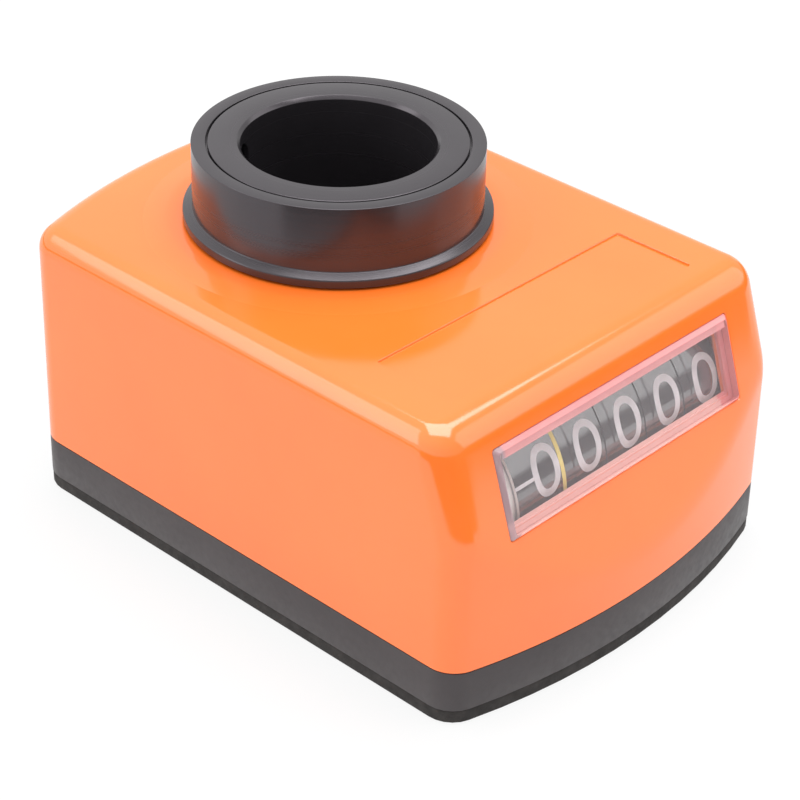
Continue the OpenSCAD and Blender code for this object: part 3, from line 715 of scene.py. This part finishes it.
def digit_strokes(digit):
    """Centre lines of a digit as (points, closed)."""
    h = HALF_H
    six = [(oval(0, h * -0.4, 1.42, 1.37), True), (bow(1.35, h * -0.4, 2.77, 3.19, 97, 178), False)]
    return {
        0: [(oval(0, 0, HALF_W, h, ZERO_POWER), True)],
        1: [([(-0.75, 0.62), (0.2, 1.25), (0.2, -h)], False)],
        2: [(bow(0, h - 1.33, 1.4, 1.33, 165, -30) + [(-1.4, -h), (1.42, -h)], False)],
        3: [(bow(-0.05, h - 1.13, 1.25, 1.13, 150, -82) + bow(-0.05, 1.22 - h, 1.42, 1.22, 84, -150), False)],
        4: [([(0.55, -h), (0.55, h), (-1.45, -0.95), (1.45, -0.95)], False)],
        5: [([(1.2, h), (-1.05, h), (-1.2, 0.2)] + bow(-0.02, 1.52 - h, 1.42, 1.52, 138, -145), False)],
        6: six,
        7: [([(-1.4, h), (1.4, h), (-0.45, -h)], False)],
        8: [(oval(0, h - 1.1, 1.2, 1.1), True), (oval(0, 1.2 - h, 1.42, 1.2), True)],
        9: [([(-x, -y) for x, y in points], closed) for points, closed in six],
    }[digit]


def ribbon(points, closed):
    """Flat stroke of even width along points, as rows of two edge points."""
    fine = []
    for (ax, ay), (bx, by) in zip(points, points[1:] + (points[:1] if closed else [])):
        parts = max(1, int(hypot(bx - ax, by - ay) / STROKE_STEP))
        fine += [Vector((ax + (bx - ax) * k / parts, ay + (by - ay) * k / parts)) for k in range(parts)]
    if not closed:
        fine.append(Vector(points[-1]))
    rows = []
    for i, p in enumerate(fine):
        before = fine[i - 1] if closed or i else p
        after = fine[(i + 1) % len(fine)] if closed or i < len(fine) - 1 else p
        u = (p - before).normalized() if p != before else (after - p).normalized()
        v = (after - p).normalized() if after != p else u
        side = Vector((-(u + v).y, (u + v).x)).normalized()
        reach = STROKE / 2 / max(side.dot(Vector((-u.y, u.x))), MITRE_LEAST)
        rows.append((p + side * reach, p - side * reach))
    return rows


def on_drum(x, arc):
    """Point on a drum's print: arc is the length round it from the reading line, upwards."""
    angle, r = SLOPE + (READ_UP + arc) / WHEEL_R, WHEEL_R + PRINT_LIFT
    return (x, AXLE_Y - r * cos(angle), AXLE_Z + r * sin(angle))


def printed(rows, finish, closed=False):
    """Part of print on a drum, from rows of two (x, arc) points each."""
    verts = [on_drum(x, arc) for row in rows for x, arc in row]
    size = len(rows)
    faces = [[2 * i, 2 * i + 1, 2 * ((i + 1) % size) + 1, 2 * ((i + 1) % size)]
             for i in range(size if closed else size - 1)]
    return verts, faces, finish


def printed_digit(number, digit):
    arc = SETTING[number] + digit * DIGIT_ARC
    return [printed([[(DIGIT_X[number] - u, arc - v) for u, v in row] for row in ribbon(points, closed)],
                    WHITE, closed) for points, closed in digit_strokes(digit)]


def printed_tick(digit):
    places = [FIRST_LEFT + TICK_IN + TICK_STEP * k for k in range(TICK_STEPS)]
    arc = digit * DIGIT_ARC
    return printed([((x, arc + TICK_HIGH), (x, arc + TICK_LOW)) for x in places], WHITE)


def printed_line():
    right = FIRST_RIGHT - LINE_IN
    arcs = [2 * pi * WHEEL_R * k / LINE_STEPS for k in range(LINE_STEPS)]
    return printed([((right - LINE_W, arc), (right, arc)) for arc in arcs], YELLOW, closed=True)


def picked(verts, faces, finish):
    """Part with the given faces and only the points that they use."""
    used = sorted({i for face in faces for i in face})
    place = {i: k for k, i in enumerate(used)}
    return [verts[i] for i in used], [[place[i] for i in face] for face in faces], finish


def wheel_parts(number):
    """Drum, core and, on the first wheel, the drum's left end, each with its own finish."""
    verts, faces = cad_mesh(f"number_wheel_{number + 1}")
    found = {DRUM: [], CORE: [], END: []}
    for face in faces:
        if max(hypot(verts[i][1] - AXLE_Y, verts[i][2] - AXLE_Z) for i in face) <= SKIN_R:
            found[CORE].append(face)
        elif number == 0 and max(verts[i][0] for i in face) < END_X:
            found[END].append(face)
        else:
            found[DRUM].append(face)
    return [picked(verts, some, finish) for finish, some in found.items()]


for number in range(DIGITS):
    parts = wheel_parts(number)
    for digit in range(DIGITS_ROUND):
        parts += printed_digit(number, digit)
        if number == 0:
            parts.append(printed_tick(digit))
    if number == 0:
        parts.append(printed_line())
    wheel = join(f"number_wheel_{number + 1}_printed", parts)
    settle(wheel, f"wheel_{number + 1}", WHEEL_FINISHES, [f"number_wheel_{number + 1}"],
           sharp=40)


# Ribs of the mask between the wheels, which close the gaps in the window

RIB_FROM, RIB_TURN, RIB_STEPS, RIB_LEG_TURN = -22, 3, 27, 57
RIB_LOW_R, RIB_HIGH_R, RIB_LEG_R, RIB_HALF_W = 9.27, 9.56, 12.6, 0.57


def rib(x):
    """Arc over a gap that ends in a leg outwards; its angles run up from the front, in degrees."""
    bands = [(RIB_FROM + RIB_TURN * k, RIB_HIGH_R) for k in range(RIB_STEPS)]
    bands += [(RIB_LEG_TURN, RIB_LEG_R), (RIB_LEG_TURN + RIB_TURN, RIB_LEG_R)]
    rings = []
    for angle, high_r in bands:
        c, s = cos(radians(angle)), sin(radians(angle))
        edges = ((-RIB_HALF_W, RIB_LOW_R), (RIB_HALF_W, RIB_LOW_R), (RIB_HALF_W, high_r),
                 (-RIB_HALF_W, high_r))
        rings.append([(x + dx, AXLE_Y - r * c, AXLE_Z + r * s) for dx, r in edges])
    return loft(rings)


mask = join("wheel_mask_ribs", [(*rib(x + WHEEL_PITCH / 2), 0) for x in DIGIT_X[:-1]])
settle(mask, "case", [drum_black], sharp=30)


# Finishes of the pieces inside, which keep their CAD shapes

SEALS, FRAME = ["lower_seal", "upper_seal"], ["counter_frame"]
GEARS = ["crown_gear", "drive_gear", "idler_gear", "wheel_gear"]
GEARS += [f"transfer_pinion_{k}" for k in range(1, DIGITS)]
STEEL_PIECES = ["frame_screws", "wheel_axle", "pinion_axle", "drive_stud", "idler_stud", "stud_clips"]
for mat, names in ((rubber, SEALS), (gear_plastic, GEARS), (frame_plastic, FRAME), (steel, STEEL_PIECES)):
    for name in names:
        nodes[name].data.materials.clear()
        nodes[name].data.materials.append(mat)


# Studio, in metres: floor, dark cards, lamps, world and camera

FLOOR_HALF, FLOOR_Z, FLOOR_GLOW, FLOOR_TONE = 3, -0.00004, 0.85, 3
CARD_STEPS = 24
SKY_AXIS, SKY_LOW, SKY_HIGH = (-0.62, 0.62, 0.48), 0.45, 1.2


def floor_white():
    """White floor that glows for the camera, for reflections and for transmitted rays."""
    n = Nodes("floor_white")
    n.put("Base Color", n.ramp(n.noise(FLOOR_TONE, GRAIN_DETAIL), (0.72, 0.72, 0.72), (0.74, 0.74, 0.74)))
    n.fix("Roughness", 0.9)
    n.fix("Specular IOR Level", 0.1)
    path = n.new("LightPath").outputs
    seen = n.math("MAXIMUM", path["Is Camera Ray"], path["Is Glossy Ray"])
    seen = n.math("MAXIMUM", seen, path["Is Transmission Ray"])
    mixed = n.new("MixShader")
    n.link(n.math("MULTIPLY", seen, FLOOR_GLOW), mixed.inputs["Fac"])
    n.link(n.shader.outputs[0], mixed.inputs[1])
    n.link(n.new("Emission").outputs[0], mixed.inputs[2])
    n.link(mixed.outputs[0], n.tree.nodes["Material Output"].inputs["Surface"])
    return n.mat


corners = ((-1, -1), (1, -1), (1, 1), (-1, 1))
floor = raw_object("floor", [(x * FLOOR_HALF, y * FLOOR_HALF, FLOOR_Z) for x, y in corners], [[0, 1, 2, 3]])
floor.data.materials.append(floor_white())
card_black = surface("card_black", (0.03, 0.03, 0.03), (0.05, 0.05, 0.05), (0.8, 0.9), tone=20, grain=60).mat


def flag(name, angle, spread, away, height):
    """Low dark card round the object, seen in its glossy surfaces."""
    turns = [radians(angle + spread * (k / CARD_STEPS - 0.5)) for k in range(CARD_STEPS + 1)]
    verts = [(away * cos(a), away * sin(a), z) for z in (0, height) for a in turns]
    up = len(turns)
    obj = raw_object(name, verts, [[k, k + 1, k + 1 + up, k + up] for k in range(CARD_STEPS)])
    obj.data.materials.append(card_black)
    obj.visible_camera = obj.visible_diffuse = obj.visible_shadow = False


flag("front_flag", angle=-45, spread=100, away=0.212, height=0.048)
flag("near_flag", angle=-135, spread=80, away=0.125, height=0.04)
flag("back_flag", angle=145, spread=150, away=0.45, height=0.034)


def lamp(name, place, aim, size, watts, turn=0):
    """Rectangular lamp that faces aim, turned round its own axis by degrees."""
    data = bpy.data.lights.new(name, "AREA")
    data.shape = "RECTANGLE"
    data.size, data.size_y = size
    data.energy = watts
    obj = bpy.data.objects.new(name, data)
    scene.collection.objects.link(obj)
    obj.location = place
    facing = (Vector(aim) - Vector(place)).to_track_quat("-Z", "Y").to_matrix()
    obj.rotation_euler = (facing @ Matrix.Rotation(radians(turn), 3, "Z")).to_euler()


lamp("overhead", (0.24, 0.01, 0.9), (0.24, 0.01, 0), size=(0.81, 0.81), watts=8.8, turn=45)
lamp("front_box", (0.65, -0.455, 0.44), (0, -0.03, 0.02), size=(0.72, 0.56), watts=1.4)
lamp("back_strip", (-0.53, 0.485, 0.475), (0, 0, 0.02), size=(0.74, 0.3), watts=1.2, turn=-50)


def studio_world():
    """White surroundings, brighter towards one side."""
    world = bpy.data.worlds.new("studio")
    scene.world = world
    world.use_nodes = True
    sky, link = world.node_tree.nodes, world.node_tree.links.new
    towards = sky.new("ShaderNodeVectorMath")
    towards.operation = "DOT_PRODUCT"
    towards.inputs[1].default_value = SKY_AXIS
    level = sky.new("ShaderNodeMapRange")
    level.inputs["From Min"].default_value = -1
    level.inputs["To Min"].default_value = SKY_LOW
    level.inputs["To Max"].default_value = SKY_HIGH
    link(sky.new("ShaderNodeTexCoord").outputs["Generated"], towards.inputs[0])
    link(towards.outputs["Value"], level.inputs["Value"])
    link(level.outputs["Result"], sky["Background"].inputs["Strength"])
    sky["Background"].inputs["Color"].default_value = (1, 1, 1, 1)


studio_world()
scene.view_settings.view_transform = "Standard"

# Camera as fitted to the photo: aim and distance in millimetres before FIT_SCALE, focal length in its pixels
AZIMUTH, ELEVATION, ROLL = radians(-47.37), radians(32.67), radians(1.36)
FIT_SCALE, AIM, AIM_RIGHT, AIM_UP, DISTANCE = 1.025, (0, -10, 18), -0.73, -4.23, 250.29
FOCAL_PX, PHOTO_PX, SENSOR_W, CLIP_START = 2478.18, 800, 36, 0.01


def photo_camera():
    back = Vector((sin(AZIMUTH) * cos(ELEVATION), -cos(AZIMUTH) * cos(ELEVATION), sin(ELEVATION)))
    right = Vector((cos(AZIMUTH), sin(AZIMUTH), 0))
    up = back.cross(right)
    target = (Vector(AIM) + right * AIM_RIGHT + up * AIM_UP) * FIT_SCALE * MM
    across = right * cos(ROLL) + up * sin(ROLL)
    upright = up * cos(ROLL) - right * sin(ROLL)
    place = target + back * DISTANCE * FIT_SCALE * MM
    data = bpy.data.cameras.new("camera")
    data.sensor_width = SENSOR_W
    data.lens = FOCAL_PX / PHOTO_PX * SENSOR_W
    data.clip_start = CLIP_START
    camera = bpy.data.objects.new("camera", data)
    scene.collection.objects.link(camera)
    facing = Matrix((across, upright, back)).transposed().to_4x4()
    camera.matrix_world = Matrix.Translation(place) @ facing
    return camera


scene.camera = photo_camera()
